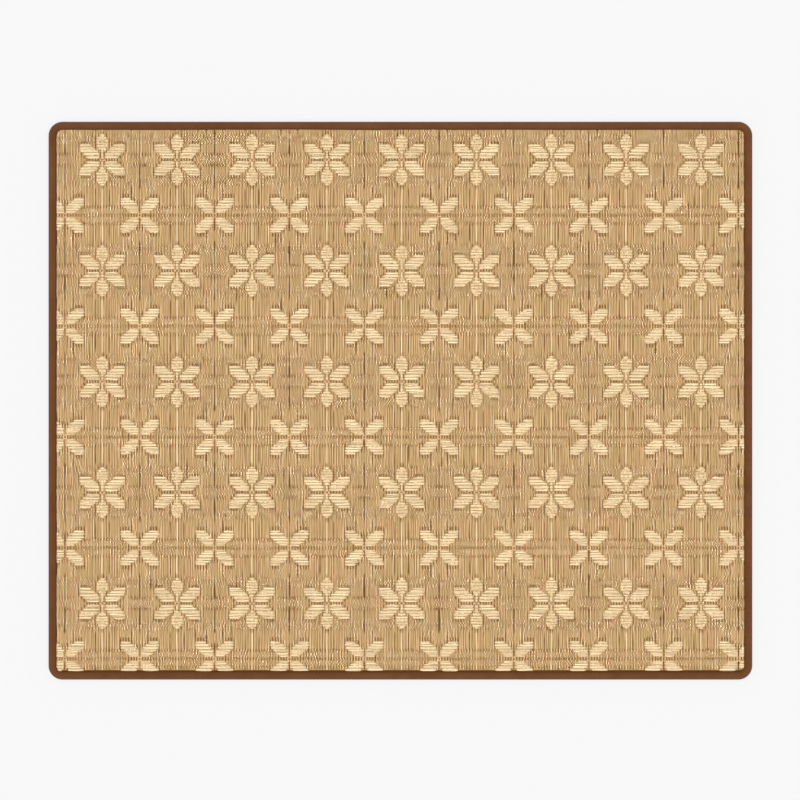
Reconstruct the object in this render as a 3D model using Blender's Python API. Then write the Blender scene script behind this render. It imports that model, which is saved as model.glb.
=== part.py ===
# A tatami mat lying flat: one figured weave, its rim closed all round by a folded cloth tape.
# Metres, +Z up. The mat rests on Z = 0 with its long side along X and its centre on the Z axis.

import math

import bmesh
import bpy

# Driving dimensions
MAT_LENGTH = 0.762
MAT_WIDTH = 0.604
CORNER_RADIUS = 0.0152
PANEL_THICKNESS = 0.0032
RIM_THICKNESS = 0.0017
TAPE_THICKNESS = 0.0010
TAPE_COVER = 0.0091
TAPE_EDGE_BEVEL = 0.0003
SEAT_GAP = 0.0003
YARN_PITCH = 0.0030
FIGURE_RISE = 0.0006
FIGURE_SETBACK = 0.0005

# The repeat of the weave, in yarns, and where the middle flower lies from the mat's centre
REPEAT_ENDS = 27
REPEAT_PICKS = 40
FLOWER_SHIFT_X = 0.0014
FLOWER_SHIFT_Y = 0.0207
FLOWER_COLUMNS = range(-4, 5)
FLOWER_ROWS = range(-2, 3)
CROSS_COLUMNS = range(-5, 5)
CROSS_ROWS = range(-3, 2)

# One leaf of each figure, as (ends, picks) from the figure's centre. The others mirror it.
FLOWER_LEAF = [(1.2, 0.5), (5.2, 0.5), (8.2, 3.4), (8.2, 5.5), (4.5, 5.5), (1.2, 2.6)]
CROSS_LEAF = [(0.4, 0.5), (3.5, 0.5), (6.8, 3.6), (6.8, 6.5), (3.5, 6.5), (0.4, 3.5)]
# The flower's upright leaf is its own mirror image, so it is whole here.
UPRIGHT_LEAF = [(0.0, 0.8), (2.05, 4.0), (2.05, 7.4), (0.0, 9.5), (-2.05, 7.4), (-2.05, 4.0)]

# Sizes that follow from these
TAPE_HEIGHT = 2.0 * TAPE_THICKNESS + 2.0 * SEAT_GAP + RIM_THICKNESS
FOLD_RADIUS = 0.5 * TAPE_HEIGHT
RIM_BOTTOM = TAPE_THICKNESS + SEAT_GAP
RIM_TOP = RIM_BOTTOM + RIM_THICKNESS
FACE_INSET = TAPE_COVER + SEAT_GAP
FIGURE_INSET = FACE_INSET + FIGURE_SETBACK
FIGURE_ROOT = 0.5 * PANEL_THICKNESS
FIGURE_TOP = PANEL_THICKNESS + FIGURE_RISE

# How finely the round stretches are cut, and what counts as one point or one flat face
CORNER_STEPS = 6
FOLD_STEPS = 8
WELD_DISTANCE = 1e-6
FLAT_ANGLE = 0.001

# Cloth colours as linear red, green and blue, and how dull the cloths are
RUSH_COLOUR = (0.58, 0.39, 0.18)
TAPE_COLOUR = (0.17, 0.07, 0.03)
RUSH_ROUGHNESS = 0.85
TAPE_ROUGHNESS = 0.80


def clear_scene():
    for item in list(bpy.data.objects):
        bpy.data.objects.remove(item, do_unlink=True)


def new_collection(name):
    collection = bpy.data.collections.new(name)
    bpy.context.scene.collection.children.link(collection)
    return collection


def add_cloth_material(item, name, colour, roughness):
    material = bpy.data.materials.new(name)
    material.use_nodes = True
    shader = material.node_tree.nodes["Principled BSDF"]
    shader.inputs["Base Color"].default_value = (*colour, 1.0)
    shader.inputs["Roughness"].default_value = roughness
    shader.inputs["Metallic"].default_value = 0.0
    material.diffuse_color = (*colour, 1.0)
    item.data.materials.append(material)


def rounded_outline(inset):
    """Corner points, counter-clockwise, of the mat's outline drawn in by the inset."""
    radius = CORNER_RADIUS - inset
    arm_x = 0.5 * MAT_LENGTH - CORNER_RADIUS
    arm_y = 0.5 * MAT_WIDTH - CORNER_RADIUS
    points = []
    for corner, (side_x, side_y) in enumerate([(1, 1), (-1, 1), (-1, -1), (1, -1)]):
        for step in range(CORNER_STEPS + 1):
            angle = 0.5 * math.pi * (corner + step / CORNER_STEPS)
            x = side_x * arm_x + radius * math.cos(angle)
            y = side_y * arm_y + radius * math.sin(angle)
            points.append((x, y))
    return points


def flat_curve(name, outlines):
    """A flat curve with one closed spline for each outline."""
    curve = bpy.data.curves.new(name, "CURVE")
    curve.dimensions = "2D"
    for outline in outlines:
        spline = curve.splines.new("POLY")
        spline.points.add(len(outline) - 1)
        for point, (x, y) in zip(spline.points, outline):
            point.co = (x, y, 0.0, 1.0)
        spline.use_cyclic_u = True
    return curve


def curve_to_solid(curve, name, collection):
    """The curve's shape as a closed mesh object, its caps welded and each flat face in one."""
    item = bpy.data.objects.new(name + "_curve", curve)
    bpy.context.scene.collection.objects.link(item)
    bpy.context.view_layer.update()
    evaluated = item.evaluated_get(bpy.context.evaluated_depsgraph_get())
    mesh = bpy.data.meshes.new_from_object(evaluated)
    mesh.name = name
    solid = bpy.data.objects.new(name, mesh)
    solid.matrix_world = item.matrix_world
    collection.objects.link(solid)
    bpy.data.objects.remove(item, do_unlink=True)
    work = bmesh.new()
    work.from_mesh(mesh)
    bmesh.ops.remove_doubles(work, verts=work.verts, dist=WELD_DISTANCE)
    bmesh.ops.dissolve_limit(work, angle_limit=FLAT_ANGLE, verts=work.verts, edges=work.edges)
    bmesh.ops.recalc_face_normals(work, faces=work.faces)
    work.to_mesh(mesh)
    work.free()
    return solid


def slab(name, outlines, bottom, top, collection):
    """Flat outlines made solid between two heights."""
    curve = flat_curve(name, outlines)
    curve.fill_mode = "BOTH"
    curve.extrude = 0.5 * (top - bottom)
    solid = curve_to_solid(curve, name, collection)
    solid.location.z = 0.5 * (top + bottom)
    return solid


def add_boolean(target, cutter, operation):
    modifier = target.modifiers.new(cutter.name, "BOOLEAN")
    modifier.operation = operation
    modifier.solver = "EXACT"
    modifier.object = cutter
    cutter.hide_render = True
    cutter.display_type = "WIRE"


def mirror_images(leaf):
    """The leaf and its three mirror images, each counter-clockwise."""
    images = []
    for flip_x, flip_y in [(1, 1), (-1, 1), (-1, -1), (1, -1)]:
        image = [(flip_x * ends, flip_y * picks) for ends, picks in leaf]
        if flip_x * flip_y < 0:
            image.reverse()
        images.append(image)
    return images


def place_leaves(leaves, columns, rows, phase):
    """Every copy of a figure's leaves, in metres, the figures set one repeat apart both ways."""
    outlines = []
    for column in columns:
        for row in rows:
            centre_x = FLOWER_SHIFT_X + (column + phase) * REPEAT_ENDS * YARN_PITCH
            centre_y = FLOWER_SHIFT_Y + (row + phase) * REPEAT_PICKS * YARN_PITCH
            for leaf in leaves:
                outline = [(centre_x + YARN_PITCH * ends, centre_y + YARN_PITCH * picks)
                           for ends, picks in leaf]
                outlines.append(outline)
    return outlines


def figure_outlines():
    """The leaves of all flowers, and of the crosses that stand half a repeat from them."""
    lower_leaf = [(-ends, -picks) for ends, picks in UPRIGHT_LEAF]
    flower = mirror_images(FLOWER_LEAF) + [UPRIGHT_LEAF, lower_leaf]
    cross = mirror_images(CROSS_LEAF)
    flowers = place_leaves(flower, FLOWER_COLUMNS, FLOWER_ROWS, 0.0)
    crosses = place_leaves(cross, CROSS_COLUMNS, CROSS_ROWS, 0.5)
    return flowers + crosses


def make_woven_panel(parts, cutters):
    """The weave: full thickness inside the tape, pressed thin under it, its figures in low relief."""
    panel = slab("woven_panel", [rounded_outline(FACE_INSET)], 0.0, PANEL_THICKNESS, parts)
    rim = slab("pressed_rim", [rounded_outline(FOLD_RADIUS)], RIM_BOTTOM, RIM_TOP, cutters)
    figures = slab("raised_figures", figure_outlines(), FIGURE_ROOT, FIGURE_TOP, cutters)
    bounds = slab("figure_bounds", [rounded_outline(FIGURE_INSET)], 0.0, 2.0 * FIGURE_TOP, cutters)
    add_boolean(figures, bounds, "INTERSECT")
    add_boolean(panel, rim, "UNION")
    add_boolean(panel, figures, "UNION")
    add_cloth_material(panel, "tan_rush_weave", RUSH_COLOUR, RUSH_ROUGHNESS)


def tape_section():
    """Half-round fold and two flat leaves, as (distance in from the mat's edge, height)."""
    slot_radius = FOLD_RADIUS - TAPE_THICKNESS
    outside = []
    inside = []
    for step in range(FOLD_STEPS + 1):
        angle = math.pi * (0.5 + step / FOLD_STEPS)
        across = math.cos(angle)
        up = math.sin(angle)
        outside.append((FOLD_RADIUS + FOLD_RADIUS * across, FOLD_RADIUS + FOLD_RADIUS * up))
        inside.append((FOLD_RADIUS + slot_radius * across, FOLD_RADIUS + slot_radius * up))
    lower_end = [(TAPE_COVER, 0.0), (TAPE_COVER, TAPE_THICKNESS)]
    upper_end = [
        (TAPE_COVER, TAPE_HEIGHT - TAPE_THICKNESS),
        (TAPE_COVER, TAPE_HEIGHT - TAPE_EDGE_BEVEL),
        (TAPE_COVER - TAPE_EDGE_BEVEL, TAPE_HEIGHT),
    ]
    return outside + lower_end + inside[::-1] + upper_end


def make_edge_binding(parts):
    """One tape round the rim, its section carried along the mat's outline."""
    section = bpy.data.objects.new("tape_section", flat_curve("tape_section", [tape_section()]))
    bpy.context.scene.collection.objects.link(section)
    path = flat_curve("edge_binding", [rounded_outline(0.0)])
    path.bevel_mode = "OBJECT"
    path.bevel_object = section
    tape = curve_to_solid(path, "edge_binding", parts)
    bpy.data.objects.remove(section, do_unlink=True)
    add_cloth_material(tape, "brown_cotton_tape", TAPE_COLOUR, TAPE_ROUGHNESS)


def build_mat():
    clear_scene()
    parts = new_collection("tatami_mat")
    cutters = new_collection("cutters")
    make_woven_panel(parts, cutters)
    make_edge_binding(parts)


build_mat()
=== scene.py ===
import bpy
import numpy as np
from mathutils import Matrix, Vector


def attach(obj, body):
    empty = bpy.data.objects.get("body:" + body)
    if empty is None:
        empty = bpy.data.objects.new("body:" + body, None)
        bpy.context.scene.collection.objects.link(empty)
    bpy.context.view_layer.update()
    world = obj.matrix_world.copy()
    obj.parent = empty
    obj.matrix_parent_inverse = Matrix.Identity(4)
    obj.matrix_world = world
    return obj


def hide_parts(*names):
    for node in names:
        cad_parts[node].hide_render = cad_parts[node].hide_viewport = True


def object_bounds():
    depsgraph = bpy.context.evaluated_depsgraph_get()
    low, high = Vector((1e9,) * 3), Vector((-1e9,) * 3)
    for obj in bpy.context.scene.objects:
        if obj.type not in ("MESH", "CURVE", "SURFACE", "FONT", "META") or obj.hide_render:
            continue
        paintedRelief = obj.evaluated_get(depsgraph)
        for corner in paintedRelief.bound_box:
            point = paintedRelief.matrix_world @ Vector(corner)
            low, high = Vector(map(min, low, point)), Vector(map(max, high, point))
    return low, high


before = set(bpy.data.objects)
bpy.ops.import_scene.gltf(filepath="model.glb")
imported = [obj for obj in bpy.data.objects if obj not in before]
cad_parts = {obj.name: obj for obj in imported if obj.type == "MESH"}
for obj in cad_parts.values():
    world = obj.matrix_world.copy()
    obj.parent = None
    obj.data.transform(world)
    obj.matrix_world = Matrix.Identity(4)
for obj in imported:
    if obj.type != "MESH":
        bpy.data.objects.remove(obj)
cadLow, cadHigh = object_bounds()
rng = np.random.default_rng(7)

# everything is in metres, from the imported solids
matLength = cadHigh.x - cadLow.x
matWidth = cadHigh.y - cadLow.y
tapeTop = cadHigh.z

mat = {
    "cornerRadius": 0.0152,
    "yarnPitch": 0.0030,      # the same for ends and picks
    "repeatEnds": 27,
    "repeatPicks": 40,
    "flowerShift": (0.0014, 0.0207),  # middle flower from the mat's centre
    "faceHeight": 0.0032,
}
armX = matLength / 2 - mat["cornerRadius"]
armY = matWidth / 2 - mat["cornerRadius"]
pitch = mat["yarnPitch"]


def linearRgb(code):
    # an sRGB hex colour as linear light
    parts = np.array([int(code[i:i + 2], 16) / 255 for i in (1, 3, 5)])
    return np.where(parts <= 0.04045, parts / 12.92, ((parts + 0.055) / 1.055) ** 2.4)


def rgba(code):
    # the same for a colour socket
    return (*linearRgb(code), 1.0)


def addNode(tree, kind, settings=None, inputs=None):
    # adds one node, sets its properties, and fills or links its inputs
    node = tree.nodes.new(kind)
    for name, value in (settings or {}).items():
        setattr(node, name, value)
    for name, value in (inputs or {}).items():
        if isinstance(value, bpy.types.NodeSocket):
            tree.links.new(value, node.inputs[name])
        else:
            node.inputs[name].default_value = value
    return node


def newMaterial(name):
    # an empty node material with its output, ready for a shader
    material = bpy.data.materials.new(name)
    material.use_nodes = True
    tree = material.node_tree
    tree.nodes.clear()
    output = tree.nodes.new("ShaderNodeOutputMaterial")
    return material, tree, output


# geometry helpers

creaseAngle = np.radians(50)      # yarns stay sharp where two faces turn by more than this


def insetFrom(x, y):
    # how far a point lies in from the mat's rounded outline
    qx = np.abs(x) - armX
    qy = np.abs(y) - armY
    outside = np.hypot(np.maximum(qx, 0), np.maximum(qy, 0))
    return mat["cornerRadius"] - outside - np.minimum(np.maximum(qx, qy), 0)


def smoothStep(low, high, value):
    # rises from 0 at the low value to 1 at the high one: t * t * (3 - 2 * t)
    t = np.clip((value - low) / (high - low), 0, 1)
    return t * t * (3 - 2 * t)


def smoothNoise(shape, passes):
    # white noise blurred a number of times along each axis, scaled back to unit spread
    field = rng.standard_normal(shape)
    for axis, count in enumerate(passes):
        for _ in range(count):
            field = 0.5 * field + 0.25 * (np.roll(field, 1, axis) + np.roll(field, -1, axis))
    return field / field.std()


def newPiece(name, points, faces, material):
    # a mesh object at the origin from whole arrays of points and faces
    mesh = bpy.data.meshes.new(name)
    mesh.from_pydata(points.reshape(-1, 3), [], faces)
    mesh.validate()
    mesh.shade_smooth()
    mesh.materials.append(material)
    piece = bpy.data.objects.new(name, mesh)
    bpy.context.scene.collection.objects.link(piece)
    return piece


def paint(piece, name, colours):
    # writes one linear colour a point
    full = np.ones((len(colours), 4), np.float32)
    full[:, :3] = colours
    layer = piece.data.attributes.new(name, "FLOAT_COLOR", "POINT")
    layer.data.foreach_set("color", full.ravel())


def markPoints(piece, name, marks):
    # says, for each point, how strongly one of its material's patterns shows
    layer = piece.data.attributes.new(name, "FLOAT", "POINT")
    layer.data.foreach_set("value", marks.astype(np.float32).ravel())


def yarnMesh(name, rings, material, colours, marks):
    # rings is yarns x steps x corners x 3: each yarn is a closed tube of rings with a cap at each end
    yarns, steps, corners = rings.shape[:3]
    start = np.arange(yarns)[:, None, None] * steps * corners
    step = np.arange(steps - 1)[None, :, None] * corners
    side = np.arange(corners)[None, None, :]
    after = (side + 1) % corners
    here = start + step
    walls = np.stack([here + side, here + after, here + corners + after, here + corners + side], -1)
    first = start.reshape(-1, 1)
    last = first + corners * (steps - 1)
    caps = np.concatenate([first + np.arange(corners)[::-1], last + np.arange(corners)])
    piece = newPiece(name, rings, walls.reshape(-1, 4).tolist() + caps.tolist(), material)
    piece.data.set_sharp_from_angle(angle=creaseAngle)
    paint(piece, "yarnColour", colours.reshape(-1, 3))
    markPoints(piece, "yarnMark", marks)
    return piece


# the weave's chart, for a quarter of the repeat: ends are counted out from a flower's middle end, and
# picks from its middle pick, so a cross's centre is at end 13.5, pick 20

chart = {
    # gap, first pick, last pick, opening in yarns: gap 0 lies between ends 0 and 1
    "gapRuns": [
        (2, 4, 8, 0.20), (2, 11, 17, 0.23), (8, 3, 6, 0.23), (10, 10, 14, 0.28), (6, 13, 17, 0.26),
        (13, 2, 10, 0.40), (11, 14, 15, 0.20), (12, 15, 16, 0.26), (13, 15, 20, 0.26), (7, 17, 18, 0.18),
        (8, 18, 18, 0.20), (9, 19, 20, 0.22), (0, 1, 3, 0.26), (1, 3, 4, 0.28), (1, 8, 9, 0.26),
        (0, 9, 10, 0.22), (3, 5, 10, 0.10), (4, 6, 10, 0.08), (0, 11, 16, 0.08), (1, 10, 16, 0.06),
        (3, 11, 16, 0.05), (4, 11, 16, 0.05), (5, 11, 16, 0.03),
    ],
    # pick, first gap, last gap, opening: a row of short openings, with the brown pick and painted shade in
    # them
    "tickRows": [
        (6, 4, 4, 0.16), (6, 5, 7, 0.48), (13, 7, 9, 0.48), (2, 9, 10, 0.17), (2, 11, 12, 0.24),
        (8, 9, 12, 0.10), (9, 3, 5, 0.10), (9, 8, 9, 0.08), (17, 0, 6, 0.20), (20, 0, 8, 0.26),
        (20, 9, 12, 0.28), (0, 0, 5, 0.35), (1, 6, 6, 0.30), (2, 7, 7, 0.28),
    ],
    # end, first pick, last pick, lightening
    "lightEnds": [
        (0, 11, 17, 0.80), (0, 18, 20, 0.30), (13, 3, 9, 0.22), (6, 13, 16, 0.30), (10, 10, 13, 0.28),
        (11, 10, 13, 0.28), (9, 2, 6, 0.16), (3, 9, 17, 0.10), (12, 14, 16, 0.35), (8, 9, 10, 0.22),
    ],
    # first pick, last pick, first end, last end: close plain weave with no stripes
    "plainBands": [(0, 1, 9, 13), (18, 19, 0, 6)],
    # first pick, last pick, first end, last end, beads: how plainly single picks show
    "beadZones": [
        (10, 16, 0, 8, 0.1), (3, 6, 10, 13, 0.2), (6, 9, 3, 13, 1.0), (0, 2, 9, 13, 1.0),
        (17, 20, 2, 7, 1.0), (10, 12, 12, 13, 0.1), (10, 12, 8, 11, 0.8),
    ],
    "beadsElsewhere": 0.5,
    # first pick, last pick, first end, last end, tone: blocks a shade darker or paler than the rest
    "toneZones": [
        (18, 19, 0, 7, 0.02), (9, 9, 8, 12, 0.03), (3, 8, 9, 13, -0.04), (0, 8, 12, 13, -0.08),
        (9, 13, 10, 12, 0.04), (9, 13, 13, 13, -0.03), (0, 0, 0, 0, -0.3), (1, 4, 8, 9, 0.04),
        (19, 19, 9, 13, 0.18), (6, 6, 6, 9, -0.14), (16, 17, 5, 6, 0.16), (10, 10, 8, 10, -0.09),
        (14, 14, 11, 11, -0.09), (17, 17, 8, 8, -0.12),
    ],
    # pick, from end, to end, half width in yarns: the cream picks that float over the ground in one leaf
    "flowerLeaf": [
        (0.93, 1.1, 5.6, 0.47), (2.05, 1.05, 6.6, 0.52), (3.12, 1.65, 7.85, 0.45),
        (3.86, 2.6, 8.2, 0.28), (4.39, 3.1, 8.25, 0.28), (5.25, 4.1, 8.25, 0.44),
    ],
    "crossLeaf": [
        (1.08, 0.45, 3.6, 0.28), (1.57, 0.4, 4.2, 0.24), (2.1, 0.4, 4.9, 0.33), (2.96, 0.4, 5.8, 0.45),
        (3.93, 1.15, 6.75, 0.51), (4.95, 2.1, 6.9, 0.49), (5.88, 3.25, 6.85, 0.44),
    ],
    # pick, half width in ends, floats in that pick
    "uprightLeaf": [
        (1.1, 0.36, 1), (2, 0.42, 1), (3, 0.55, 1), (4, 1.3, 3), (5, 1.95, 4), (6, 2.1, 3),
        (7, 2.05, 4), (8, 1.45, 3), (8.8, 0.55, 1),
    ],
}

# the ends and picks that show inside the tape
hiddenReach = 0.0078
lastX = matLength / 2 - hiddenReach
lastY = matWidth / 2 - hiddenReach
shiftX, shiftY = mat["flowerShift"]
ends = np.arange(np.ceil((-lastX - shiftX) / pitch), np.floor((lastX - shiftX) / pitch) + 1)
picks = np.arange(np.ceil((-lastY - shiftY) / pitch), np.floor((lastY - shiftY) / pitch) + 1)


def foldEnds(numbers, middle):
    # brings an end's or a gap's number into the quarter chart; middle is the highest folded place
    inRepeat = np.mod(numbers, mat["repeatEnds"])
    return np.minimum(inRepeat, middle - inRepeat).astype(int)


def foldPicks(numbers):
    # the same for a pick's number
    inRepeat = np.mod(numbers, mat["repeatPicks"])
    return np.minimum(inRepeat, mat["repeatPicks"] - inRepeat).astype(int)


def chartFields():
    # gap openings and peeps (gaps x picks), then lightening, plainness, beads and tone (ends x picks),
    # all read from the chart
    gaps = np.arange(ends[0] - 1, ends[-1] + 1)
    gapPlace = foldEnds(gaps, mat["repeatEnds"] - 1)[:, None]
    endPlace = foldEnds(ends, mat["repeatEnds"])[:, None]
    pickPlace = foldPicks(picks)[None, :]

    def block(firstPick, lastPick, place, first, last):
        # the cells of one block: picks by ends, or picks by gaps
        inPicks = (pickPlace >= firstPick) & (pickPlace <= lastPick)
        return (place >= first) & (place <= last) & inPicks

    opening = np.zeros((len(gaps), len(picks)))
    peeps = np.zeros_like(opening)
    lightening = np.zeros((len(ends), len(picks)))
    plain = np.zeros_like(lightening)
    beads = np.full_like(lightening, chart["beadsElsewhere"])
    tone = np.zeros_like(lightening)
    for gap, firstPick, lastPick, amount in chart["gapRuns"]:
        opening = np.maximum(opening, amount * block(firstPick, lastPick, gapPlace, gap, gap))
    for pick, firstGap, lastGap, amount in chart["tickRows"]:
        tick = amount * block(pick, pick, gapPlace, firstGap, lastGap)
        opening = np.maximum(opening, endYarn["tickOpening"] * tick)
        peeps = np.maximum(peeps, tick)
    for end, firstPick, lastPick, amount in chart["lightEnds"]:
        lightening = np.maximum(lightening, amount * block(firstPick, lastPick, endPlace, end, end))
    for firstPick, lastPick, firstEnd, lastEnd in chart["plainBands"]:
        plain[block(firstPick, lastPick, endPlace, firstEnd, lastEnd)] = 1
    for firstPick, lastPick, firstEnd, lastEnd, amount in chart["beadZones"]:
        beads[block(firstPick, lastPick, endPlace, firstEnd, lastEnd)] = amount
    for firstPick, lastPick, firstEnd, lastEnd, amount in chart["toneZones"]:
        tone[block(firstPick, lastPick, endPlace, firstEnd, lastEnd)] = amount
    return opening, peeps, lightening, plain, beads, tone


# rush ends

endYarn = {
    "tan": "#c49f6d",
    "pink": "#cd9f73",
    "olive": "#ba9f65",
    "cream": "#f2d8aa",
    "closedGap": -0.03,       # opening between ends that lie close, in yarns
    "gapSpread": 0.025,       # how unevenly they lie
    "toneSpread": 0.015,
    "toneParts": (0.6, 0.8),  # of it, for a whole end and for each short stretch
    "hueSpread": 0.22,
    "settle": np.array([0.11, 0.16, 0.25]),  # how much strong flecks pale each channel
    "openingSpread": 0.35,
    "openingVaries": (0.3, 1.7),
    "openings": (-0.02, 0.62),  # the least and the most
    "plainCloses": 0.75,      # share of an opening that plain weave closes
    "plainFlattens": 0.5,     # and of a bead
    "tickOpening": 0.6,       # share of a tick that is an opening
    "wander": 0.00008,        # of an end along its length
    "tapePress": 0.0006,      # how far the tape presses the ends down
    "pressedFrom": (0.0088, 0.0104),  # in from the mat's edge, from fully pressed to free
    "crest": 0.0001,          # over the face
    "edgeDrop": 0.00008,      # how far the edges fall where ends touch
    "edgeOpenDrop": 0.0012,   # and how much more for each yarn's width of opening
    "bellyDrop": 0.0008,
    "beadHeight": 0.00006,
    "shoulder": 0.26,         # half width of the flat top, in yarns
    "shoulderLoss": 0.22,     # its loss where a stalk is pale
    "shoulderClear": 0.1,     # the least from the flat top to an edge
    "deepestShade": 0.4,      # opening that shades a side most
    "side": np.array([1.0, 0.985, 0.95]),    # painted shade tint of a side, for the crevice between ends
    "openSideShade": np.array([0.5, 0.6, 0.8]),   # and more painted shade for each yarn's width of opening
}


def weavePhase(tree, place, axis, shift, length):
    # the cosine of the place along one axis, once a length from the shift
    parts = addNode(tree, "ShaderNodeSeparateXYZ", {}, {"Vector": place})
    turns = 2 * np.pi / length
    angle = addNode(tree, "ShaderNodeMath", {"operation": "MULTIPLY_ADD"}, {
        0: parts.outputs[axis], 1: turns, 2: -shift * turns})
    return addNode(tree, "ShaderNodeMath", {"operation": "COSINE"}, {0: angle.outputs[0]}).outputs[0]


def fibreLines(tree, place, along, width, length):
    # Real fibres are too fine to show here, so they are drawn about 1.2 mm wide: pale and dark lines take
    # turns across the yarn, each stretch as strong as a noise about zero, four lines wide, says:
    # cosine(across / width) * noise(across, along)
    scale = (0.25 / width, 1 / length, 1) if along == "Y" else (1 / length, 0.25 / width, 1)
    mapping = addNode(tree, "ShaderNodeMapping", {}, {"Vector": place, "Scale": scale})
    level = addNode(tree, "ShaderNodeTexNoise", {"noise_dimensions": "2D"}, {
        "Vector": mapping.outputs["Vector"], "Scale": 1.0, "Detail": 0.0}).outputs["Fac"]
    about = addNode(tree, "ShaderNodeMath", {"operation": "SUBTRACT"}, {0: level, 1: 0.5})
    turn = weavePhase(tree, place, "X" if along == "Y" else "Y", 0.0, 2 * width)
    lines = addNode(tree, "ShaderNodeMath", {"operation": "MULTIPLY"}, {0: about.outputs[0], 1: turn})
    return lines.outputs[0]


# what every rush stalk's material shares
rush = {
    "runWidth": 1.07,         # long runs of fibre against short flecks, so that the two don't line up
    "runLoss": 0.7,           # share of the runs that flecks take over where they are strongest
    "peepPower": 3.0,         # the higher, the shorter a peep is along the stalk
    "eyeGamma": 2.2,
    "darkest": (0.42, 0.28, 0.12),
}


def rushMaterial(name, along, fibre):
    # Split rush, dried and woven: a dull stalk with fine lengthwise fibres, flecked in short stretches.
    # Ends show a bead at each pick, painted paler on its crest and darker round it as light and shade, and
    # the picks peep out between them. Picks are nipped at each end that they cross, with painted shade in
    # each nip.
    material, tree, output = newMaterial(name)
    place = addNode(tree, "ShaderNodeTexCoord").outputs["Object"]
    flecks = fibreLines(tree, place, along, fibre["width"], fibre["fleck"])
    runs = fibreLines(tree, place, along, fibre["width"] * rush["runWidth"], fibre["length"])
    yarn = addNode(tree, "ShaderNodeAttribute", {"attribute_name": "yarnColour"})
    mark = addNode(tree, "ShaderNodeAttribute", {"attribute_name": "yarnMark"})
    everyEnd = weavePhase(tree, place, "X", shiftX, pitch)
    betweenEnds = addNode(tree, "ShaderNodeMath", {"operation": "MINIMUM"}, {0: everyEnd, 1: 0.0})
    pattern = betweenEnds.outputs[0]
    if along == "Y":
        everyPick = weavePhase(tree, place, "Y", shiftY, pitch)
        crossings = addNode(tree, "ShaderNodeMath", {"operation": "MULTIPLY"}, {0: everyPick, 1: everyEnd})
        pattern = crossings.outputs[0]
    # painted light and shade: each bead paler on its crest and darker round it, and each nip darker
    paintedRelief = addNode(tree, "ShaderNodeMath", {"operation": "MULTIPLY"}, {0: pattern, 1: mark.outputs["Fac"]})
    # where a pick peeps out between two ends it is painted dark: the pick's own brown and painted shade in
    # the opening
    peep = addNode(tree, "ShaderNodeAttribute", {"attribute_name": "yarnPeep"})
    peep = addNode(tree, "ShaderNodeMath", {"operation": "POWER"}, {
        0: peep.outputs["Fac"], 1: rush["peepPower"]})
    peep = addNode(tree, "ShaderNodeMath", {"operation": "MULTIPLY"}, {
        0: peep.outputs[0], 1: betweenEnds.outputs[0]})
    # paler or darker by an even step to the eye: colour ** (1 / gamma) + change * step, and back again
    fleckAmount = addNode(tree, "ShaderNodeMath", {"operation": "MULTIPLY"}, {
        0: mark.outputs["Fac"], 1: fibre["fleckContrast"]})
    runAmount = addNode(tree, "ShaderNodeMath", {"operation": "MULTIPLY_ADD"}, {
        0: mark.outputs["Fac"], 1: -rush["runLoss"] * fibre["contrast"], 2: fibre["contrast"]})
    change = addNode(tree, "ShaderNodeMath", {"operation": "MULTIPLY"}, {
        0: flecks, 1: fleckAmount.outputs[0]})
    change = addNode(tree, "ShaderNodeMath", {"operation": "MULTIPLY_ADD"}, {
        0: runs, 1: runAmount.outputs[0], 2: change.outputs[0]})
    change = addNode(tree, "ShaderNodeMath", {"operation": "MULTIPLY_ADD"}, {
        0: paintedRelief.outputs[0], 1: fibre["paintedReliefContrast"], 2: change.outputs[0]})
    change = addNode(tree, "ShaderNodeMath", {"operation": "MULTIPLY_ADD"}, {
        0: peep.outputs[0], 1: fibre["peepShade"], 2: change.outputs[0]})
    seen = addNode(tree, "ShaderNodeGamma", {}, {
        "Color": yarn.outputs["Color"], "Gamma": 1 / rush["eyeGamma"]})
    changed = addNode(tree, "ShaderNodeVectorMath", {"operation": "MULTIPLY_ADD"}, {
        0: change.outputs[0], 1: fibre["step"], 2: seen.outputs["Color"]})
    brown = addNode(tree, "ShaderNodeVectorMath", {"operation": "MAXIMUM"}, {
        0: changed.outputs["Vector"], 1: rush["darkest"]})
    tinted = addNode(tree, "ShaderNodeGamma", {}, {
        "Color": brown.outputs["Vector"], "Gamma": rush["eyeGamma"]})
    height = addNode(tree, "ShaderNodeMath", {"operation": "ADD"}, {0: flecks, 1: runs})
    height = addNode(tree, "ShaderNodeMath", {"operation": "ADD"}, {
        0: height.outputs[0], 1: paintedRelief.outputs[0]})
    bump = addNode(tree, "ShaderNodeBump", {}, {
        "Height": height.outputs[0], "Strength": 0.5, "Distance": 0.00012})
    rough = addNode(tree, "ShaderNodeMapRange", {}, {
        "Value": runs, "From Min": -0.4, "From Max": 0.4, "To Min": 0.64, "To Max": 0.82})
    shader = addNode(tree, "ShaderNodeBsdfPrincipled", {}, {
        "Base Color": tinted.outputs["Color"], "Roughness": rough.outputs["Result"],
        "Specular IOR Level": 0.3, "Normal": bump.outputs["Normal"]})
    tree.links.new(shader.outputs["BSDF"], output.inputs["Surface"])
    return material


def endColours(shape):
    # tan, drifting to pink or olive in soft patches, with each end and each short stretch a little apart
    hue = np.clip(endYarn["hueSpread"] * smoothNoise(shape, (2, 2)), -1, 1)[..., None]
    colours = linearRgb(endYarn["tan"]) * (1 - np.abs(hue))
    colours = colours + np.maximum(hue, 0) * linearRgb(endYarn["pink"])
    colours = colours + np.maximum(-hue, 0) * linearRgb(endYarn["olive"])
    whole, short = endYarn["toneParts"]
    tone = whole * smoothNoise(shape, (0, 30)) + short * smoothNoise(shape, (0, 0))
    return colours * (1 + endYarn["toneSpread"] * tone[..., None])


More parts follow.
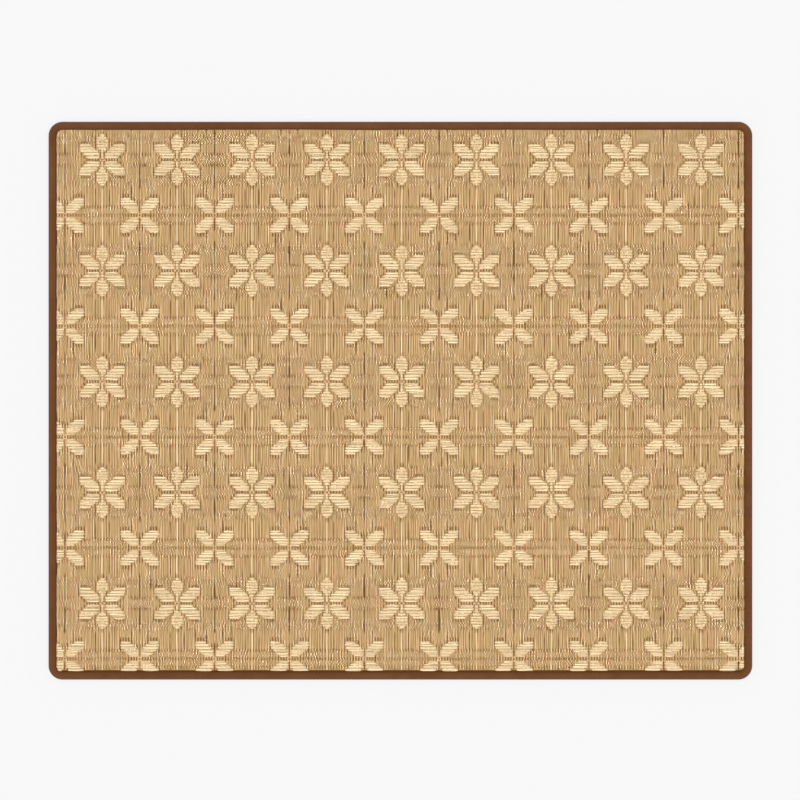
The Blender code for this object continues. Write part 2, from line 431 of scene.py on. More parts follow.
def rushEnds(opening, peeps, lightening, plain, beads, tone, material):
    # Each end runs along Y. Its two edges draw in by half of the opening beside them and fall with it, and
    # its crest rises and falls by a bead's height from pick to pick, in turn with its neighbours.
    count, rows = lightening.shape
    loose = smoothNoise(opening.shape, (0, 4)) + 0.7 * smoothNoise(opening.shape, (0, 50))
    loose = endYarn["closedGap"] + endYarn["gapSpread"] * np.maximum(loose, 0) ** 2
    vary = 1 + endYarn["openingSpread"] * smoothNoise(opening.shape, (0, 3))
    vary = np.clip(vary, *endYarn["openingVaries"])
    gap = np.clip(np.maximum(opening * vary, loose), *endYarn["openings"])
    plainGap = np.zeros_like(gap)
    plainGap[:-1] = plain
    gap = gap * (1 - endYarn["plainCloses"] * plainGap)
    middle = shiftX + ends[:, None] * pitch + endYarn["wander"] * smoothNoise((count, rows), (0, 20))
    left = middle - pitch * (0.5 - gap[:-1] / 2)
    right = middle + pitch * (0.5 - gap[1:] / 2)
    y = np.broadcast_to(shiftY + picks * pitch, (count, rows))
    bead = endYarn["beadHeight"] * np.cos(np.pi * (ends[:, None] + picks[None, :]))
    bead = bead * (1 - endYarn["plainFlattens"] * plain)
    press = endYarn["tapePress"] * (1 - smoothStep(*endYarn["pressedFrom"], insetFrom(middle, y)))
    crest = mat["faceHeight"] + endYarn["crest"] + bead - press
    drop = endYarn["edgeDrop"] + endYarn["edgeOpenDrop"] * np.maximum(gap, 0)
    shoulder = (endYarn["shoulder"] - endYarn["shoulderLoss"] * lightening) * pitch
    clear = endYarn["shoulderClear"] * pitch
    topRight = np.minimum(middle + shoulder, right - clear)
    topLeft = np.maximum(middle - shoulder, left + clear)
    belly = crest - endYarn["bellyDrop"]
    x = np.stack([left, middle, right, topRight, topLeft], -1)
    z = np.stack([crest - drop[:-1], belly, crest - drop[1:], crest, crest], -1)
    ring = np.stack([x, np.broadcast_to(y[..., None], x.shape), z], -1)
    # flecks make a stalk look paler by their own square, so its tone is set lower by as much
    tone = 1 + tone[..., None] - beads[..., None] ** 2 * endYarn["settle"]
    colours = endColours(lightening.shape) * tone
    colours = np.repeat(colours[:, :, None, :], 5, axis=2)
    # the paler stalks are pale along their crests
    light = lightening[:, :, None, None] * np.array([0, 0, 0, 1, 1])[:, None]
    colours = colours * (1 - light) + linearRgb(endYarn["cream"]) * light
    # and the sides are painted with shade, browner and darker, the more so where a gap opens beside them
    shade = np.clip(gap, 0, endYarn["deepestShade"])[..., None] * endYarn["openSideShade"]
    colours[:, :, 0] *= endYarn["side"] - shade[:-1]
    colours[:, :, 2] *= endYarn["side"] - shade[1:]
    marks = np.repeat(beads[:, :, None], 5, axis=2)
    # the material raises these to a power, so the root here keeps a peep's strength
    root = peeps[..., None] ** (1 / rush["peepPower"])
    peep = np.zeros_like(marks)
    peep[:, :, [0, 4]] = root[:-1]
    peep[:, :, [2, 3]] = root[1:]
    pieces = []
    for part, members in zip(("left", "middle", "right"), np.array_split(np.arange(count), 3)):
        piece = yarnMesh("rush_ends_" + part, ring[members], material, colours[members], marks[members])
        markPoints(piece, "yarnPeep", peep[members])
        pieces.append(piece)
    return pieces


# cream picks

pickYarn = {
    "cream": "#efd3a6",
    "upright": "#ecd0a3",
    "tie": "#e6c194",
    "tieRadius": 0.0019,
    "tieThick": 0.00060,
    "tieSides": (10, 5),      # round the loop and round its yarn
    "tieRise": 0.0002,        # over the face
    "tieClear": 0.0125,       # the least from the mat's edge
    "tieToneSpread": 0.08,
    "toneSpread": 0.055,
    "toneParts": (0.7, 0.5),  # of it, for a whole float and for each step
    "tapeReach": 0.0092,      # floats are cut this far in from the mat's edge
    "tapeClear": 0.0094,      # and left out where their middle is nearer
    "shortest": 0.5,          # in yarns
    "wobble": 0.055,          # of a whole float, in yarns
    "stepWobble": 0.02,
    "stretch": 0.05,
    "overlap": 0.1,
    "endCurve": (2.2, 8.0),   # power of the rounded end, for the shortest and the longest floats
    "narrowing": 0.35,        # at the ends
    "widthSpread": 0.03,
    "bend": 0.0007,           # how far the ends bend down
    "roughTop": 0.00004,
    "belly": 0.0009,
    "uprightSteps": 5,
    "uprightWidth": 0.5,      # half, in yarns
    "flatTop": 0.54,          # of the width
    "edgeDrop": 0.00040,
    # painted shade on each float's edges and belly, where it turns down between its neighbours; the same for
    # the upright floats
    "edgeShade": 0.74,
    "uprightEdgeShade": 0.95,
    "steps": 9,
    "lift": 0.0006,           # over the face
}


def figurePlaces(phase):
    # the centres of every flower (phase 0) or cross (phase 0.5) near the mat, in ends and picks
    columns = np.arange(-6, 7) + phase
    rows = np.arange(-4, 5) + phase
    grid = np.stack(np.meshgrid(columns * mat["repeatEnds"], rows * mat["repeatPicks"]), -1)
    return grid.reshape(-1, 2)


def floatTable(leaf):
    # one leaf's floats and their three mirror images: (pick, from, to, half width)
    quarter = np.array(leaf, float)
    made = []
    for flipEnd in (1, -1):
        for flipPick in (1, -1):
            image = quarter.copy()
            image[:, 0] *= flipPick
            image[:, 1:3] *= flipEnd
            image[:, 1:3].sort(axis=1)
            made.append(image)
    return np.concatenate(made)


def uprightTable():
    # the upright leaves' picks are tied down often, so each is a few short floats
    made = []
    for pick, half, count in chart["uprightLeaf"]:
        edges = np.linspace(-half, half, count + 1)
        for start, stop in zip(edges[:-1], edges[1:]):
            made += [(side * pick, start, stop, pickYarn["uprightWidth"]) for side in (1, -1)]
    return np.array(made)


def placeFloats(table, places):
    # every float at every figure, cut where the tape covers it
    pick = (table[None, :, 0] + places[:, None, 1]).ravel()
    start = (table[None, :, 1] + places[:, None, 0]).ravel()
    stop = (table[None, :, 2] + places[:, None, 0]).ravel()
    width = np.broadcast_to(table[None, :, 3], (len(places), len(table))).ravel()
    reach = (matLength / 2 - pickYarn["tapeReach"]) / pitch
    start = np.maximum(start, -reach - shiftX / pitch)
    stop = np.minimum(stop, reach - shiftX / pitch)
    y = shiftY + pick * pitch
    middle = shiftX + 0.5 * (start + stop) * pitch
    keep = (stop - start > pickYarn["shortest"]) & (insetFrom(middle, y) > pickYarn["tapeClear"])
    return pick[keep], start[keep], stop[keep], width[keep]


def creamFloats(name, table, places, material, colour, steps, edgeShade):
    # Each float is a closed pill along X: its width and height follow a rounded end curve, and it bends
    # down into the weave at both ends.
    pick, start, stop, halfWidth = placeFloats(table, places)
    count = len(pick)
    t = np.sin(np.linspace(-1, 1, steps) * np.pi / 2)[None, :]
    wobble = pickYarn["wobble"] * rng.standard_normal((count, 1))
    stretch = pickYarn["stretch"] * rng.standard_normal((count, 2))[:, :1]
    centre = 0.5 * (start + stop)[:, None]
    half = 0.5 * (stop - start)[:, None] + pickYarn["overlap"] + stretch
    x = shiftX + (centre + half * t) * pitch
    fall = np.abs(t) ** np.clip(2 * half, *pickYarn["endCurve"])
    width = halfWidth[:, None] * pitch * (1 - pickYarn["narrowing"] * fall)
    width = width * (1 + pickYarn["widthSpread"] * rng.standard_normal((count, 1)))
    wobble = wobble + pickYarn["stepWobble"] * rng.standard_normal((count, steps))
    y = shiftY + (pick[:, None] + wobble) * pitch
    rough = pickYarn["roughTop"] * rng.standard_normal((count, steps))
    top = mat["faceHeight"] + pickYarn["lift"] - pickYarn["bend"] * fall + rough
    ring = np.empty((count, steps, 5, 3))
    ring[..., 0] = x[..., None]
    flat = width * pickYarn["flatTop"]
    section = [(width, pickYarn["edgeDrop"]), (0 * width, pickYarn["belly"]),
               (-width, pickYarn["edgeDrop"]), (-flat, 0), (flat, 0)]
    for corner, (across, drop) in enumerate(section):
        ring[..., corner, 1] = y + across
        ring[..., corner, 2] = top - drop
    whole, short = pickYarn["toneParts"]
    tone = whole * rng.standard_normal((count, 1)) + short * rng.standard_normal((count, steps))
    colours = linearRgb(colour) * (1 + pickYarn["toneSpread"] * tone[..., None])
    colours = np.repeat(colours[:, :, None, :], 5, axis=2)
    # painted shade: the edges and belly of each float are darker than its top
    colours[:, :, 0:3] *= edgeShade
    marks = np.zeros((count, steps, 5))
    marks[:, :, 0:3] = 1
    return yarnMesh(name, ring, material, colours, marks)


def centreTies(places, material):
    # One closed loop of tan pick at every figure's centre: a small circle carried round a bigger one,
    # x = (radius + thick * cos(b)) * cos(a), y the same with sin(a), z = middle + thick * sin(b).
    x = shiftX + places[:, 0] * pitch
    y = shiftY + places[:, 1] * pitch
    keep = insetFrom(x, y) > pickYarn["tieClear"]
    level = np.full(keep.sum(), mat["faceHeight"] + pickYarn["tieRise"])
    centre = np.stack([x[keep], y[keep], level], -1)
    around, across = pickYarn["tieSides"]
    a = 2 * np.pi * np.arange(around)[:, None] / around
    b = 2 * np.pi * np.arange(across)[None, :] / across
    reach = pickYarn["tieRadius"] + pickYarn["tieThick"] * np.cos(b)
    rise = np.broadcast_to(pickYarn["tieThick"] * np.sin(b), (around, across))
    loop = np.stack([reach * np.cos(a), reach * np.sin(a), rise], -1)
    grid = centre[:, None, None, :] + loop[None]
    count = len(centre)
    start = np.arange(count)[:, None, None] * around * across
    i = np.arange(around)[None, :, None]
    j = np.arange(across)[None, None, :]
    nextI = (i + 1) % around
    nextJ = (j + 1) % across
    quads = np.stack([start + i * across + j, start + nextI * across + j,
                      start + nextI * across + nextJ, start + i * across + nextJ], -1).reshape(-1, 4)
    piece = newPiece("centre_ties", grid, quads, material)
    tone = 1 + pickYarn["tieToneSpread"] * rng.standard_normal((count, 1, 1, 1))
    colours = np.broadcast_to(linearRgb(pickYarn["tie"]) * tone, grid.shape)
    paint(piece, "yarnColour", colours.reshape(-1, 3))
    markPoints(piece, "yarnMark", np.zeros(grid.shape[:3]))
    return piece


# the ground cloth under the ends

groundCloth = {
    # the top's browns are partly the picks' own colour and partly painted shade of the weave's inside; the
    # troughs between picks take the shadow colour
    "picks": "#8c6230",
    "shadow": "#5c3a14",
    "under": "#b08f60",
    "fibre": (0.0040, 0.0004),  # along and across
    "weaveRelief": 0.4,       # of the plain weave, against its fibres
    "rowsPerPick": 4,
    "columns": 16,
    "ridge": 0.00012,
    "top": 0.00262,           # inside the tape
    "rimInset": 0.0022,
    "rimLow": 0.0013,         # the rim's two faces, under the tape
    "rimHigh": 0.0027,
    "pressedFrom": (0.0085, 0.0100),  # in from the mat's edge, from the rim to the full cloth
    "rounding": 0.35,         # how far the columns crowd towards the sides
}


def groundMaterial():
    # Twisted rush picks under the ends: dark in the gaps, their brown partly painted shade of the deep weave,
    # ribbed along X, dull and rough. Plain weave shows beneath, one yarn over and one under: cosine(x /
    # pitch) * cosine(y / pitch).
    material, tree, output = newMaterial("twisted_rush_ground")
    place = addNode(tree, "ShaderNodeTexCoord")
    along, across = groundCloth["fibre"]
    mapping = addNode(tree, "ShaderNodeMapping", {}, {
        "Vector": place.outputs["Object"], "Scale": (1 / along, 1 / across, 1 / across)})
    fibres = addNode(tree, "ShaderNodeTexNoise", {}, {
        "Vector": mapping.outputs["Vector"], "Scale": 1.0, "Detail": 3.0})
    tone = addNode(tree, "ShaderNodeAttribute", {"attribute_name": "yarnColour"})
    overUnder = addNode(tree, "ShaderNodeMath", {"operation": "MULTIPLY"}, {
        0: weavePhase(tree, place.outputs["Object"], "X", shiftX, 2 * pitch),
        1: weavePhase(tree, place.outputs["Object"], "Y", shiftY, 2 * pitch)})
    relief = addNode(tree, "ShaderNodeMath", {"operation": "MULTIPLY_ADD"}, {
        0: overUnder.outputs[0], 1: groundCloth["weaveRelief"], 2: fibres.outputs["Fac"]})
    strength = addNode(tree, "ShaderNodeMapRange", {}, {
        "Value": relief.outputs[0], "To Min": 0.75, "To Max": 1.25})
    tinted = addNode(tree, "ShaderNodeVectorMath", {"operation": "SCALE"}, {
        "Vector": tone.outputs["Color"], "Scale": strength.outputs["Result"]})
    bump = addNode(tree, "ShaderNodeBump", {}, {
        "Height": relief.outputs[0], "Strength": 0.6, "Distance": 0.0005})
    shader = addNode(tree, "ShaderNodeBsdfPrincipled", {}, {
        "Base Color": tinted.outputs["Vector"], "Roughness": 0.85, "Specular IOR Level": 0.25,
        "Normal": bump.outputs["Normal"]})
    tree.links.new(shader.outputs["BSDF"], output.inputs["Surface"])
    return material


def makeGroundCloth(material):
    # A closed slab on a grid: each row along X is as wide as the rounded outline there. The top has one
    # ridge a pick, the underside is flat, and both draw together under the tape.
    settings = groundCloth
    radius = mat["cornerRadius"] - settings["rimInset"]
    reach = armY + radius
    rows = int(round(2 * reach / pitch * settings["rowsPerPick"])) + 1
    y = np.linspace(-reach, reach, rows)
    overCorner = np.clip(np.abs(y) - armY, 0, radius)
    halfX = armX + np.sqrt(np.maximum(radius ** 2 - overCorner ** 2, 0))
    columns = settings["columns"] + 1
    even = np.linspace(-1, 1, columns)
    u = settings["rounding"] * np.sin(even * np.pi / 2) + (1 - settings["rounding"]) * even
    x = halfX[:, None] * u[None, :]
    y = np.repeat(y[:, None], columns, axis=1)
    inside = smoothStep(*settings["pressedFrom"], insetFrom(x, y))
    wave = np.cos(2 * np.pi * (y - shiftY) / pitch)
    rise = settings["top"] - settings["rimHigh"] + settings["ridge"] * wave
    high = settings["rimHigh"] + inside * rise
    low = settings["rimLow"] * (1 - inside)
    top = np.stack([x, y, high], -1).reshape(-1, 3)
    under = np.stack([x, y, low], -1).reshape(-1, 3)
    row, column = np.meshgrid(np.arange(rows - 1), np.arange(columns - 1), indexing="ij")
    corner = (row * columns + column).ravel()
    quads = np.stack([corner, corner + 1, corner + columns + 1, corner + columns], -1)
    number = np.arange(rows * columns).reshape(rows, columns)
    rim = np.concatenate([number[0, :-1], number[:-1, -1], number[-1, :0:-1], number[:0:-1, 0]])
    after = np.roll(rim, -1)
    shift = rows * columns
    walls = np.stack([rim + shift, after + shift, after, rim], -1)
    faces = np.concatenate([quads, quads[:, ::-1] + shift, walls])
    cloth = newPiece("ground_cloth", np.concatenate([top, under]), faces, material)
    ridgeTone = 0.5 + 0.5 * wave.reshape(-1, 1)
    topColour = linearRgb(settings["shadow"]) * (1 - ridgeTone) + linearRgb(settings["picks"]) * ridgeTone
    underColour = np.broadcast_to(linearRgb(settings["under"]), under.shape)
    paint(cloth, "yarnColour", np.concatenate([topColour, underColour]))
    return cloth


# the tape and its stitches

tape = {
    "brown": "#734725",
    "brownDark": "#6a3e1d",
    # painted shade: the brown darkens towards the inner edge, where the tape turns down to the weave
    "innerShadeBrown": "#603406",
    "outer": "#6c4d3f",
    "spacing": 0.0016,        # between sections along the rim
    "cutWidth": 0.0210,       # of the strip, before it is folded over the rim
    "drift": (0.00012, 0.00004),  # of the inner edge, slow and quick
    "driftsFrom": (0.004, 0.009),
    "pucker": 0.00006,        # between stitches
    "puckersFrom": (0.0050, 0.0080),
    "puckersAbove": 0.0032,   # in height
    "unevenness": 0.00005,
    "unevenAbove": 0.0030,
    "innerShade": (0.0054, 0.0088),
    # greyer towards the fold
    "foldGreying": (0.0004, 0.0030),
    "patchiness": 0.3,        # between the two browns
    "stitchPitch": 0.0042,
    "stitchInset": 0.0080,
    "stitchInsetSpread": 0.00008,
    "stitchLength": 0.0027,
    "stitchWidth": 0.0005,
    "stitchThick": 0.0004,
    "stitchSteps": 6,
    "stitchRise": 0.00022,    # at the middle, over the tape
    "stitchSink": 0.00034,    # from the middle to the ends
    "stitchNarrowing": 0.35,  # at the ends
    "stitchCurve": 4,         # power of the rounded end
    "threadWeave": 0.0006,
    # distance in from the mat's edge, height as a share of the tape's: over the top, from the fold inwards
    "crown": [
        (0.0000, 0.50), (0.00012, 0.64), (0.00045, 0.78), (0.0010, 0.89), (0.0018, 0.96),
        (0.0028, 0.995), (0.0040, 1.00), (0.0052, 0.99), (0.0064, 0.97), (0.0073, 0.945),
        (0.0080, 0.91), (0.0085, 0.86), (0.0088, 0.79), (0.0089, 0.71),
    ],
    # the same for the fold's lower half
    "below": [(0.00012, 0.36), (0.00045, 0.22), (0.0010, 0.11), (0.0020, 0.02), (0.0030, 0.0)],
    # distance in and height in metres: under the lower leaf's edge, then round the slot for the weave
    "slot": [
        (0.0089, 0.0), (0.0089, 0.0010), (0.0024, 0.0010), (0.0012, 0.0022), (0.0024, 0.0033),
        (0.0084, 0.0033), (0.0087, 0.0030),
    ],
}


def rimWalk(spacing):
    # the mat's outline as points with outward directions: a quarter circle at each corner, then a side
    radius = mat["cornerRadius"]
    arcSteps = int(np.ceil(0.5 * np.pi * radius / spacing))
    points = []
    outward = []
    for turn, (sideX, sideY) in enumerate([(1, 1), (-1, 1), (-1, -1), (1, -1)]):
        centre = np.array([sideX * armX, sideY * armY])
        angle = 0.5 * np.pi * (turn + np.arange(arcSteps) / arcSteps)
        facing = np.stack([np.cos(angle), np.sin(angle)], -1)
        points.append(centre + radius * facing)
        outward.append(facing)
        sideLength = 2 * (armX if turn % 2 == 0 else armY)
        sideSteps = int(np.ceil(sideLength / spacing))
        last = 0.5 * np.pi * (turn + 1)
        square = np.array([np.cos(last), np.sin(last)])
        along = np.array([-np.sin(last), np.cos(last)])
        origin = centre + radius * square
        points.append(origin + along * (np.arange(sideSteps) / sideSteps * sideLength)[:, None])
        outward.append(np.repeat(square[None, :], sideSteps, axis=0))
    points = np.concatenate(points)
    outward = np.concatenate(outward)
    steps = np.hypot(*(np.roll(points, -1, axis=0) - points).T)
    walked = np.concatenate([[0.0], np.cumsum(steps)])
    return points, outward, walked


def tapeMaterial():
    # Plain-woven cotton tape, dyed brown: matt, finely ribbed, greyer on the fold and darker towards its
    # inner edge with painted shade. Its weave is sine(along / thread) * sine(across / thread).
    material, tree, output = newMaterial("woven_cotton_tape")
    sheet = addNode(tree, "ShaderNodeUVMap", {"uv_map": "tapeRun"})
    thread = 2 * np.pi / tape["threadWeave"]
    runs = addNode(tree, "ShaderNodeSeparateXYZ", {}, {"Vector": sheet.outputs["UV"]})
    waves = []
    for axis in ("X", "Y"):
        phase = addNode(tree, "ShaderNodeMath", {"operation": "MULTIPLY"}, {0: runs.outputs[axis], 1: thread})
        wave = addNode(tree, "ShaderNodeMath", {"operation": "SINE"}, {0: phase.outputs[0]})
        waves.append(wave.outputs[0])
    weave = addNode(tree, "ShaderNodeMath", {"operation": "MULTIPLY"}, {0: waves[0], 1: waves[1]})
    place = addNode(tree, "ShaderNodeTexCoord")
    slubs = addNode(tree, "ShaderNodeTexNoise", {}, {
        "Vector": place.outputs["Object"], "Scale": 90.0, "Detail": 4.0, "Roughness": 0.6})
    fuzz = addNode(tree, "ShaderNodeTexNoise", {}, {
        "Vector": place.outputs["Object"], "Scale": 2500.0, "Detail": 2.0})
    tone = addNode(tree, "ShaderNodeAttribute", {"attribute_name": "yarnColour"})
    shade = addNode(tree, "ShaderNodeMapRange", {}, {
        "Value": weave.outputs[0], "From Min": -1.0, "From Max": 1.0, "To Min": 0.90, "To Max": 1.08})
    patch = addNode(tree, "ShaderNodeMapRange", {}, {
        "Value": slubs.outputs["Fac"], "From Min": 0.3, "From Max": 0.7, "To Min": 0.92, "To Max": 1.08})
    amount = addNode(tree, "ShaderNodeMath", {"operation": "MULTIPLY"}, {
        0: shade.outputs["Result"], 1: patch.outputs["Result"]})
    tinted = addNode(tree, "ShaderNodeVectorMath", {"operation": "SCALE"}, {
        "Vector": tone.outputs["Color"], "Scale": amount.outputs[0]})
    height = addNode(tree, "ShaderNodeMath", {"operation": "MULTIPLY_ADD"}, {
        0: fuzz.outputs["Fac"], 1: 0.6, 2: weave.outputs[0]})
    bump = addNode(tree, "ShaderNodeBump", {}, {
        "Height": height.outputs[0], "Strength": 0.6, "Distance": 0.00008})
    shader = addNode(tree, "ShaderNodeBsdfPrincipled", {}, {
        "Base Color": tinted.outputs["Vector"], "Roughness": 0.82, "Specular IOR Level": 0.25,
        "Sheen Weight": 0.06, "Sheen Roughness": 0.5, "Normal": bump.outputs["Normal"]})
    tree.links.new(shader.outputs["BSDF"], output.inputs["Surface"])
    return material


def makeTape(material, points, outward, walked):
    # The folded section carried round the rim: crown over the top, flat below, and the slot for the weave
    # between the two leaves. The crown dips a little at each stitch and its width wanders slowly.
    inTapeHeights = np.array([1.0, tapeTop])
    top = (np.array(tape["crown"]) * inTapeHeights)[::-1]
    below = np.array(tape["below"]) * inTapeHeights
    section = np.concatenate([top, below, np.array(tape["slot"])])
    inset, height = section.T
    stations = len(points)
    at = walked[:-1, None]
    slowDrift, quickDrift = tape["drift"]
    drift = smoothNoise((stations, 1), (400, 0)) * slowDrift + smoothNoise((stations, 1), (4, 0)) * quickDrift
    pucker = tape["pucker"] * np.cos(2 * np.pi * at / tape["stitchPitch"])
    reach = inset[None, :] + drift * smoothStep(*tape["driftsFrom"], inset)[None, :]
    lift = pucker * smoothStep(*tape["puckersFrom"], inset)[None, :] * (height > tape["puckersAbove"])
    uneven = tape["unevenness"] * smoothNoise((stations, 1), (30, 0))
    lift = lift + uneven * (height > tape["unevenAbove"])
    grid = np.empty((stations, len(section), 3))
    grid[..., :2] = points[:, None, :] - outward[:, None, :] * reach[..., None]
    grid[..., 2] = height[None, :] + lift
    station, place = np.meshgrid(np.arange(stations), np.arange(len(section)), indexing="ij")
    nextStation = (station + 1) % stations
    nextPlace = (place + 1) % len(section)
    size = len(section)
    quads = np.stack([station * size + place, station * size + nextPlace,
                      nextStation * size + nextPlace, nextStation * size + place], -1).reshape(-1, 4)
    piece = newPiece("binding_tape", grid, quads, material)
    girth = np.concatenate([[0.0], np.cumsum(np.hypot(*(np.roll(section, -1, axis=0) - section).T))])
    corners = [(0, 0), (0, 1), (1, 1), (1, 0)]
    uv = np.stack([np.stack([walked[station + i], girth[place + j]], -1) for i, j in corners], 2)
    layer = piece.data.uv_layers.new(name="tapeRun")
    layer.data.foreach_set("uv", uv.reshape(-1).astype(np.float32))
    # painted shade towards the tape's inner edge
    inward = smoothStep(*tape["innerShade"], inset)[None, :, None]
    foldGreying = (1 - smoothStep(*tape["foldGreying"], inset))[None, :, None]
    slow = np.clip(0.5 + tape["patchiness"] * smoothNoise((stations, 1), (40, 0))[..., None], 0, 1)
    base = linearRgb(tape["brown"]) * slow + linearRgb(tape["brownDark"]) * (1 - slow)
    base = base * (1 - foldGreying) + linearRgb(tape["outer"]) * foldGreying
    colours = base * (1 - inward) + linearRgb(tape["innerShadeBrown"]) * inward
    paint(piece, "yarnColour", np.broadcast_to(colours, grid.shape).reshape(-1, 3))
    return piece


def threadMaterial():
    # Spun polyester sewing thread in the tape's brown: fine, twisted, a faint shine
    material, tree, output = newMaterial("spun_sewing_thread")
    place = addNode(tree, "ShaderNodeTexCoord")
    twist = addNode(tree, "ShaderNodeTexNoise", {}, {
        "Vector": place.outputs["Object"], "Scale": 3000.0, "Detail": 2.0})
    colour = addNode(tree, "ShaderNodeMix", {"data_type": "RGBA"}, {
        "Factor": twist.outputs["Fac"], 6: rgba("#4c2e19"), 7: rgba("#6f4529")})
    bump = addNode(tree, "ShaderNodeBump", {}, {
        "Height": twist.outputs["Fac"], "Strength": 0.4, "Distance": 0.00005})
    shader = addNode(tree, "ShaderNodeBsdfPrincipled", {}, {
        "Base Color": colour.outputs[2], "Roughness": 0.6, "Normal": bump.outputs["Normal"]})
    tree.links.new(shader.outputs["BSDF"], output.inputs["Surface"])
    return material


def makeStitches(material, points, outward, walked):
    # One closed pill a stitch, laid along the rim just in from the tape's inner edge, its ends sunk in
    total = walked[-1]
    count = int(round(total / tape["stitchPitch"]))
    steps = tape["stitchSteps"]
    t = np.linspace(-1, 1, steps)[None, :]
    at = (np.arange(count)[:, None] + 0.5) * total / count + 0.5 * tape["stitchLength"] * t
    at = np.mod(at, total)
    closedPoints = np.concatenate([points, points[:1]])
    closedOut = np.concatenate([outward, outward[:1]])
    base = np.stack([np.interp(at, walked, closedPoints[:, i]) for i in (0, 1)], -1)
    facing = np.stack([np.interp(at, walked, closedOut[:, i]) for i in (0, 1)], -1)
    inset = tape["stitchInset"] + tape["stitchInsetSpread"] * rng.standard_normal((count, 1))
    fall = t ** tape["stitchCurve"]
    half = 0.5 * tape["stitchWidth"] * (1 - tape["stitchNarrowing"] * fall)
    crown = np.array(tape["crown"])
    level = np.interp(inset, crown[:, 0], crown[:, 1]) * tapeTop
    level = level + tape["stitchRise"] - tape["stitchSink"] * fall
    ring = np.empty((count, steps, 5, 3))
    for corner, (side, rise) in enumerate([(1, -0.5), (0, -1), (-1, -0.5), (-0.5, 0), (0.5, 0)]):
        across = inset + side * half
        ring[:, :, corner, :2] = base - facing * across[..., None]
        ring[:, :, corner, 2] = level + rise * tape["stitchThick"]
    return yarnMesh("tape_stitches", ring, material, np.ones(ring.shape), np.zeros(ring.shape[:3]))


# making

print("weaving the ground")
opening, peeps, lightening, plain, beads, tone = chartFields()
endMaterial = rushMaterial("split_rush_ends", "Y", {
    "width": 0.00118, "fleck": 0.0012, "fleckContrast": 2.00, "length": 0.0400, "contrast": 0.54,
    "paintedReliefContrast": 0.20, "peepShade": 4.00, "step": (0.92, 1.0, 1.0)})
pickMaterial = rushMaterial("bleached_rush_picks", "X", {
    "width": 0.00118, "fleck": 0.0014, "fleckContrast": 1.70, "length": 0.0200, "contrast": 0.55,
    "paintedReliefContrast": 0.17, "peepShade": 0.0, "step": (0.96, 1.0, 1.0)})
cloth = makeGroundCloth(groundMaterial())
endPieces = rushEnds(opening, peeps, lightening, plain, beads, tone, endMaterial)

print("weaving the figures")
flowers = figurePlaces(0.0)
crosses = figurePlaces(0.5)
slanting = (pickYarn["cream"], pickYarn["steps"], pickYarn["edgeShade"])
upright = (pickYarn["upright"], pickYarn["uprightSteps"], pickYarn["uprightEdgeShade"])
floatPieces = [
    creamFloats("flower_floats", floatTable(chart["flowerLeaf"]), flowers, pickMaterial, *slanting),
    creamFloats("cross_floats", floatTable(chart["crossLeaf"]), crosses, pickMaterial, *slanting),
    creamFloats("upright_floats", uprightTable(), flowers, pickMaterial, *upright),
    centreTies(np.concatenate([flowers, crosses]), pickMaterial),
]

print("binding the rim")
points, outward, walked = rimWalk(tape["spacing"])
binding = makeTape(tapeMaterial(), points, outward, walked)
stitches = makeStitches(threadMaterial(), points, outward, walked)

print("floor, light and camera")
studio = {
    "floor": "#b1b1b1",
    "floorSide": 40.0,
    "floorLevel": -0.0002,    # just under the mat, so that no two faces share a plane
    "floorGlow": 0.47,        # lit from below as a light table is, so that shadows stay faint
    "skyStrength": 0.46,
    "horizonStrength": 0.90,
    "keyStrength": 1.84,
    "keySpread": 0.6,         # radians: a wide, soft key
    "keyTilt": (0.10, -0.12),
    "lens": 85.0,
    "sensor": 36.0,
    "farClip": 50.0,
    "photoSide": 800,
    "matPixels": 704.1,       # the mat's length in the photo
    "matCentre": (399.9, 400.2),
}
bpy.ops.mesh.primitive_plane_add(size=studio["floorSide"], location=(0, 0, studio["floorLevel"]))
floor = bpy.context.object
floor.name = "studio_floor"
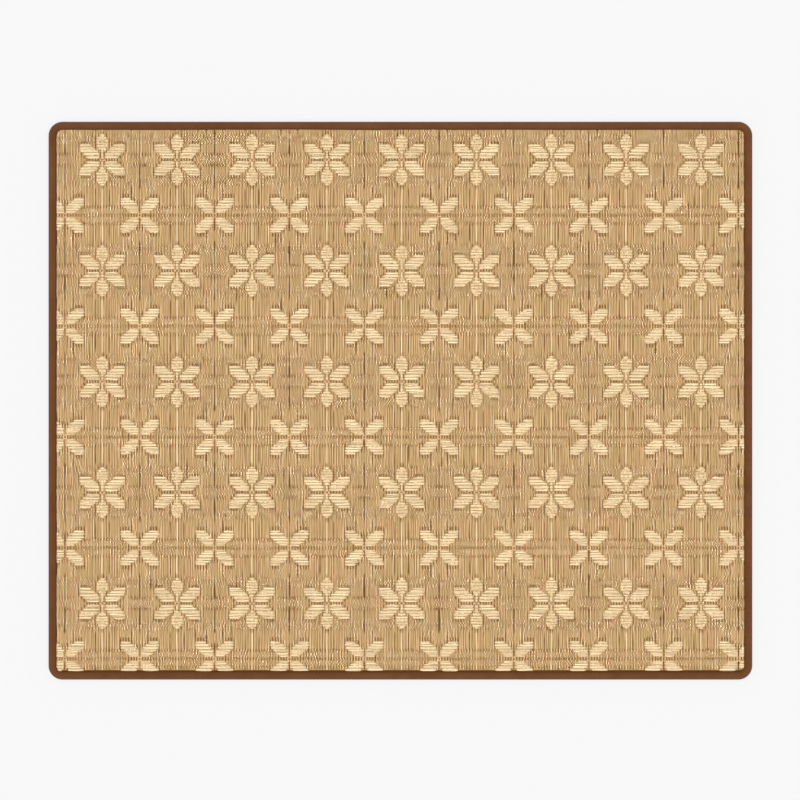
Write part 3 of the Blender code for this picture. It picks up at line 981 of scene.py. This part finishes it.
# White paper on a light table: matt and faintly grained, and it leaves only a soft shadow round the mat.
floorMaterial, floorTree, floorOutput = newMaterial("matt_paper_floor")
floorPlace = addNode(floorTree, "ShaderNodeTexCoord").outputs["Object"]
grain = addNode(floorTree, "ShaderNodeTexNoise", {}, {"Vector": floorPlace, "Scale": 400.0, "Detail": 2.0})
grainBump = addNode(floorTree, "ShaderNodeBump", {}, {
    "Height": grain.outputs["Fac"], "Strength": 0.05, "Distance": 0.0002})
paper = addNode(floorTree, "ShaderNodeBsdfPrincipled", {}, {
    "Base Color": rgba(studio["floor"]), "Roughness": 0.95, "Specular IOR Level": 0.1,
    "Emission Color": (1.0, 1.0, 1.0, 1.0), "Emission Strength": studio["floorGlow"],
    "Normal": grainBump.outputs["Normal"]})
floorTree.links.new(paper.outputs["BSDF"], floorOutput.inputs["Surface"])
floor.data.materials.append(floorMaterial)

# a white surround, brightest low down, so that the studio is pale from every side
world = bpy.data.worlds.new("soft_studio")
world.use_nodes = True
direction = addNode(world.node_tree, "ShaderNodeTexCoord").outputs["Generated"]
upward = addNode(world.node_tree, "ShaderNodeSeparateXYZ", {}, {"Vector": direction})
brightness = addNode(world.node_tree, "ShaderNodeMapRange", {}, {
    "Value": upward.outputs["Z"], "From Min": 0.05, "From Max": 0.45,
    "To Min": studio["horizonStrength"], "To Max": studio["skyStrength"]})
surround = world.node_tree.nodes["Background"]
surround.inputs["Color"].default_value = (1.0, 1.0, 1.0, 1.0)
world.node_tree.links.new(brightness.outputs["Result"], surround.inputs["Strength"])
bpy.context.scene.world = world
softKey = bpy.data.lights.new("soft_key", "SUN")
softKey.energy = studio["keyStrength"]
softKey.angle = studio["keySpread"]
softKeyObject = bpy.data.objects.new("soft_key", softKey)
softKeyObject.rotation_euler = (*studio["keyTilt"], 0)
bpy.context.scene.collection.objects.link(softKeyObject)

metresPerPixel = matLength / studio["matPixels"]
distance = studio["photoSide"] * metresPerPixel * studio["lens"] / studio["sensor"]
cameraData = bpy.data.cameras.new("photo_camera")
cameraData.lens = studio["lens"]
cameraData.sensor_width = studio["sensor"]
cameraData.clip_end = studio["farClip"]
camera = bpy.data.objects.new("photo_camera", cameraData)
middlePixel = (studio["photoSide"] - 1) / 2
camera.location = ((middlePixel - studio["matCentre"][0]) * metresPerPixel,
                   (studio["matCentre"][1] - middlePixel) * metresPerPixel,
                   distance + mat["faceHeight"])
bpy.context.scene.collection.objects.link(camera)
bpy.context.scene.camera = camera
bpy.context.scene.view_settings.view_transform = "Standard"

print("tying the pieces to the frame")
wovenPieces = [cloth, *endPieces, *floatPieces]
for piece in wovenPieces:
    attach(piece, "root")
    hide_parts("woven_panel")
for piece in (binding, stitches):
    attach(piece, "root")
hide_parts("edge_binding")
